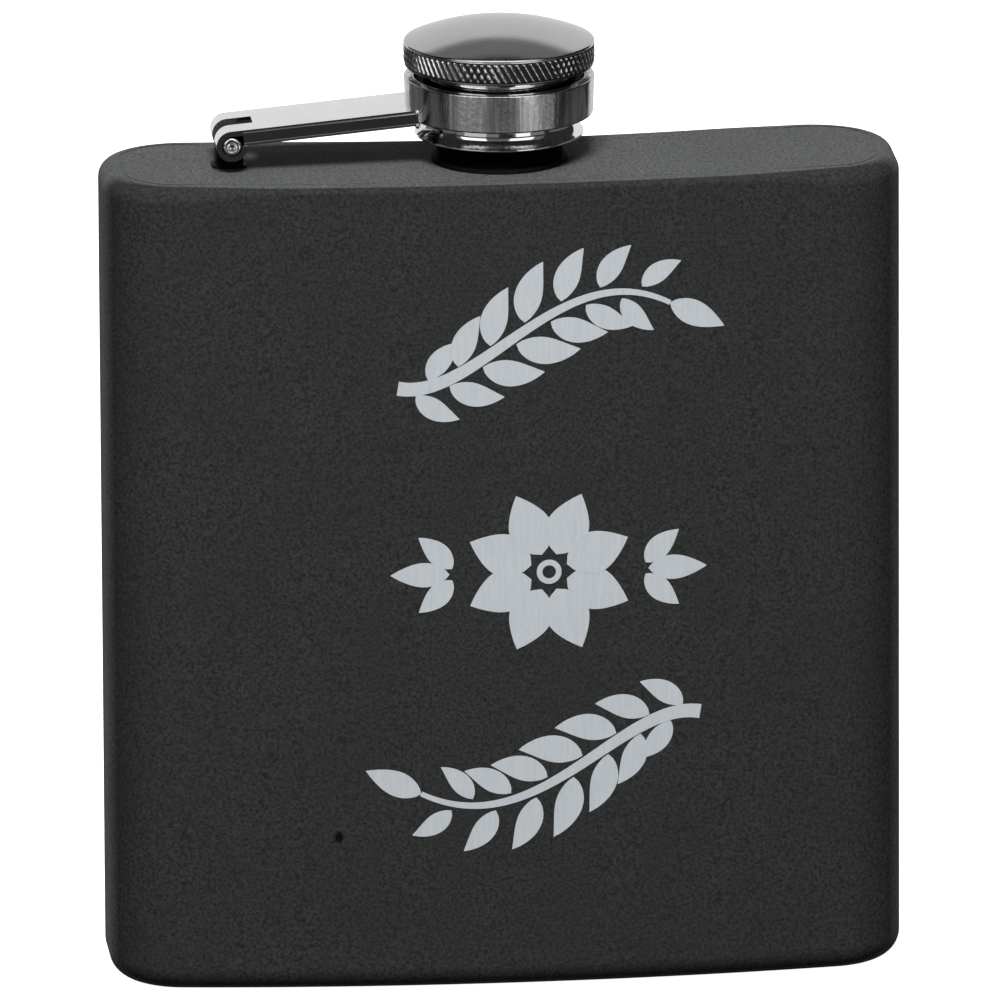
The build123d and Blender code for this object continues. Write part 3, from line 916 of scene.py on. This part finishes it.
class Ribbon:
    """Collects thin raised strokes on the front and makes them one piece."""

    def __init__(self):
        self.points = []
        self.faces = []
        self.strokes = 0

    def stroke(self, spine, widths):
        """A closed strip along spine points (x, z) with a half width at each.

        Strokes that cross stand a hundredth of a millimetre apart, so no two faces share a plane.
        """
        rise = STROKE_RISE + STROKE_STEP * (self.strokes % 3 if self.strokes else 3)
        self.strokes += 1
        start = len(self.points)
        last = len(spine) - 1
        for index, (x, z) in enumerate(spine):
            before = Vector(spine[max(index - 1, 0)])
            after = Vector(spine[min(index + 1, last)])
            along = (after - before).normalized()
            side = Vector((-along.y, along.x)) * max(widths[index], 0.02)
            for sign in (1, 0, -1):
                spot = Vector((x, z)) + side * sign
                face = front_surface(spot.x)
                self.points.append((spot.x, face - rise, spot.y))
                self.points.append((spot.x, face + STROKE_SINK, spot.y))
        for index in range(last):
            a = start + index * 6
            b = a + 6
            for out in (0, 2):
                self.faces.append((a + out, a + out + 2, b + out + 2, b + out))
                self.faces.append((a + out + 1, b + out + 1, b + out + 3, a + out + 3))
            self.faces.append((a, b, b + 1, a + 1))
            self.faces.append((a + 4, a + 5, b + 5, b + 4))
        for a in (start, start + last * 6):
            self.faces.append((a, a + 1, a + 3, a + 2))
            self.faces.append((a + 2, a + 3, a + 5, a + 4))

    def leaf(self, root, heading, length, width, bend=0.0):
        """An almond-shaped leaf from its root, curving by bend radians."""
        steps = 16
        spine = []
        widths = []
        spot = Vector(root)
        for step in range(steps + 1):
            t = step / steps
            spine.append(tuple(spot))
            widths.append(width / 2 * math.sin(math.pi * t**0.8) ** 0.9)
            angle = heading + bend * t
            spot = spot + Vector((math.cos(angle), math.sin(angle))) * (length / steps)
        self.stroke(spine, widths)


def curve_point(ends, t):
    """A point of a cubic curve through four control points."""
    a, b, c, d = (Vector(end) for end in ends)
    u = 1 - t
    return a * u**3 + b * 3 * u * u * t + c * 3 * u * t * t + d * t**3


def sprig(ribbon, ends, leaves, leaf_length, leaf_width, stem_width):
    """A curved stem with leaves to both sides and one at its tip."""
    steps = 48
    spine = [curve_point(ends, step / steps) for step in range(steps + 1)]
    widths = [stem_width / 2 * (1.15 - 0.75 * step / steps) for step in range(steps + 1)]
    ribbon.stroke([tuple(spot) for spot in spine], widths)
    for index in range(leaves):
        t = 0.10 + 0.78 * index / (leaves - 1)
        along = curve_point(ends, t + 0.01) - curve_point(ends, t - 0.01)
        heading = math.atan2(along.y, along.x)
        size = 1.0 - 0.35 * abs(2 * t - 0.9)
        across = Vector((-math.sin(heading), math.cos(heading)))
        for side in (1, -1):
            root = curve_point(ends, t + STAGGER * side) + across * (side * stem_width * 0.55)
            ribbon.leaf(
                root,
                heading + side * 0.95,
                leaf_length * size,
                leaf_width * size,
                bend=-side * 0.55,
            )
    along = curve_point(ends, 1) - curve_point(ends, 0.97)
    ribbon.leaf(spine[-1], math.atan2(along.y, along.x), leaf_length * 0.9, leaf_width * 0.9)


def blossom(ribbon, centre, petals, inner, outer, width):
    """Petals round an open centre."""
    for index in range(petals):
        angle = TAU * (index + 0.5) / petals
        spoke = Vector((math.cos(angle), math.sin(angle)))
        ribbon.leaf(Vector(centre) + spoke * inner, angle, outer - inner, width)
    ring = []
    for step in range(41):
        angle = TAU * step / 40
        spoke = Vector((math.cos(angle), math.sin(angle)))
        ring.append(tuple(Vector(centre) + spoke * (inner * 0.5)))
    ribbon.stroke(ring, [0.34] * 41)


def add_ornament(name, ribbon):
    """Turns a finished ribbon into a piece on the flask."""
    add_piece(name, ribbon.points, ribbon.faces, "flask", etched, 30)


def build_ornaments():
    """Three plain leaf and flower motifs, one above another on the front."""
    upper = Ribbon()
    sprig(upper, [(-13.5, 74.5), (-4, 72.5), (6, 91), (19, 84)], 7, 8.0, 3.4, 1.5)
    add_ornament("etched_sprig_upper", upper)
    middle = Ribbon()
    blossom(middle, (ORNAMENT_X, ORNAMENT_Z), 8, 2.3, 10.2, 5.2)
    for side in (1, -1):
        outward = 0 if side > 0 else math.pi
        root = (ORNAMENT_X + side * 11.0, ORNAMENT_Z)
        for turn, length, width in ((-0.9, 5.6, 2.7), (0, 7.0, 3.0), (0.9, 5.6, 2.7)):
            start = Vector((math.cos(outward + turn), math.sin(outward + turn))) * 0.9
            middle.leaf(Vector(root) + start, outward + turn, length, width, bend=-turn * 0.3)
    add_ornament("etched_blossom", middle)
    lower = Ribbon()
    sprig(lower, [(22.5, 33.5), (13, 35.5), (3, 17.5), (-11, 24.5)], 7, 8.0, 3.4, 1.5)
    add_ornament("etched_sprig_lower", lower)


build_ornaments()


# ---------------------------------------------------------------- studio


def build_floor():
    """A pale floor: white to the camera, dim to the coat, clear from underneath."""
    half = 4.0
    drop = -0.02 * MM
    mesh = bpy.data.meshes.new("studio_floor")
    signs = ((-1, -1), (1, -1), (1, 1), (-1, 1))
    mesh.from_pydata([(x * half, y * half, drop) for x, y in signs], [], [(0, 1, 2, 3)])
    material, n = new_material("studio_floor")
    soft = n.noise(3.0, detail=2.0)
    white = n.mix(soft, (0.86, 0.86, 0.86, 1), (0.90, 0.90, 0.90, 1))
    shown = n.add("ShaderNodeBsdfDiffuse", Color=white)
    glow = n.add("ShaderNodeEmission", Color=(1, 1, 1, 1), Strength=1.0)
    lit = n.add("ShaderNodeAddShader")
    n.tree.links.new(shown.outputs[0], lit.inputs[0])
    n.tree.links.new(glow.outputs[0], lit.inputs[1])
    dull = n.add("ShaderNodeBsdfDiffuse", Color=(0.12, 0.12, 0.12, 1))
    path = n.add("ShaderNodeLightPath")
    either = n.add("ShaderNodeMixShader", Fac=path.outputs["Is Camera Ray"])
    n.tree.links.new(dull.outputs[0], either.inputs[1])
    n.tree.links.new(lit.outputs[0], either.inputs[2])
    side = n.add("ShaderNodeNewGeometry").outputs["Backfacing"]
    clear = n.add("ShaderNodeBsdfTransparent")
    shader = n.add("ShaderNodeMixShader", Fac=side)
    n.tree.links.new(either.outputs[0], shader.inputs[1])
    n.tree.links.new(clear.outputs[0], shader.inputs[2])
    finish_material(n, shader.outputs[0])
    mesh.materials.append(material)
    floor = bpy.data.objects.new("studio_floor", mesh)
    scene.collection.objects.link(floor)
    floor.visible_glossy = False


def build_world():
    """The studio seen by direction: a backdrop, an overhead light and two soft boxes in front.

    Directions are in degrees from the camera's own line, so that the reflections sit where a
    photographer would see them. Below the horizon is what a glossy table gives back.
    """
    world = bpy.data.worlds.new("studio")
    scene.world = world
    world.use_nodes = True
    n = Nodes(world.node_tree)
    ray = n.add("ShaderNodeTexCoord").outputs["Generated"]
    axes = n.add("ShaderNodeSeparateXYZ", Vector=ray)
    x, y, z = axes.outputs["X"], axes.outputs["Y"], axes.outputs["Z"]
    degrees = math.degrees(1)
    front = n.math("MULTIPLY", n.math("ARCTAN2", x, n.math("MULTIPLY", y, -1.0)), degrees)
    front = n.math("ADD", front, CAMERA_HEADING)
    back = n.math("MULTIPLY", n.math("ARCTAN2", x, y), degrees)
    back = n.math("SUBTRACT", back, CAMERA_HEADING)
    elevation = n.math("MULTIPLY", n.math("ARCSINE", z), degrees)

    def band(value, low, high, soft):
        rise = n.span(value, low - soft, low + soft, smooth=True)
        fall = n.span(value, high - soft, high + soft, 1.0, 0.0, smooth=True)
        return n.math("MULTIPLY", rise, fall)

    def box(around, azimuths, elevations, soft, strength):
        across = band(around, *azimuths, soft)
        up = band(elevation, *elevations, soft)
        return n.math("MULTIPLY", n.math("MULTIPLY", across, up), strength)

    parts = [
        box(back, (-38, 38), (-30, 39), 2, 0.95),
        box(back, (-60, 60), (39, 57), 1, 0.27),
        box(front, (-144, -106), (-30, 50), 2, 0.15),
        box(front, (-68, 72), (-30, -18), 1, 0.26),
        box(front, (-68, -1), (-18, -6), 2, 0.18),
        box(front, (22, 72), (-18, -6), 2, 0.18),
        box(front, (-68, 72), (8, 50), 2, 0.12),
        box(front, (26, 72), (-34, -19), 2, 0.3),
        box(front, (-54, -20), (-18, -6), 1, 0.5),
        box(front, (-60, -20), (8, 46), 2, 1.7),
        box(front, (25, 48), (-18, -6), 1, 1.2),
        box(front, (16, 54), (8, 46), 2, 1.5),
        n.math("MULTIPLY", n.span(elevation, 66, 72, smooth=True), 1.6),
        box(front, (-80, 80), (52, 90), 2, 1.6),
    ]
    total = 0.03
    for part in parts:
        total = n.math("ADD", part, total)
    path = n.add("ShaderNodeLightPath")
    total = n.math("MULTIPLY", total, n.span(path.outputs["Is Diffuse Ray"], 0, 1, 1.0, FILL))
    background = n.add("ShaderNodeBackground", Strength=total)
    out = n.add("ShaderNodeOutputWorld")
    n.tree.links.new(background.outputs[0], out.inputs["Surface"])


def build_soft_light(name, place, power):
    """A square soft light aimed at the flask, kept out of the mirror-bright steel."""
    data = bpy.data.lights.new(name, "AREA")
    data.shape = "SQUARE"
    data.size = LIGHT_SIZE
    data.energy = power
    light = bpy.data.objects.new(name, data)
    scene.collection.objects.link(light)
    light.location = place
    light.rotation_mode = "QUATERNION"
    light.rotation_quaternion = (Vector((0, 0, 0.08)) - Vector(place)).to_track_quat("-Z", "Y")
    light.visible_glossy = False
    light.visible_camera = False


def build_camera():
    """A long lens, a little to the left of the front and above it."""
    pitch = math.radians(CAMERA_PITCH)
    heading = math.radians(CAMERA_HEADING)
    target = Vector((0, SECTION_MIDDLE * MM, CAMERA_AIM))
    look = Vector(
        (
            math.sin(heading) * math.cos(pitch),
            math.cos(heading) * math.cos(pitch),
            -math.sin(pitch),
        )
    )
    data = bpy.data.cameras.new("camera")
    data.sensor_width = 36.0
    data.lens = 848.0
    data.shift_x = -0.003
    data.shift_y = 0.0837
    data.clip_start = 0.1
    data.clip_end = 20.0
    camera = bpy.data.objects.new("camera", data)
    scene.collection.objects.link(camera)
    camera.location = target - look * CAMERA_DISTANCE
    camera.rotation_mode = "QUATERNION"
    roll = Matrix.Rotation(math.radians(CAMERA_ROLL), 4, "Z")
    level = look.to_track_quat("-Z", "Y").to_matrix().to_4x4()
    camera.rotation_quaternion = (level @ roll).to_quaternion()
    scene.camera = camera


build_floor()
build_world()
build_soft_light("key_light", KEY_PLACE, KEY_POWER)
build_soft_light("back_light", BACK_PLACE, BACK_POWER)
build_camera()
scene.view_settings.view_transform = "Standard"
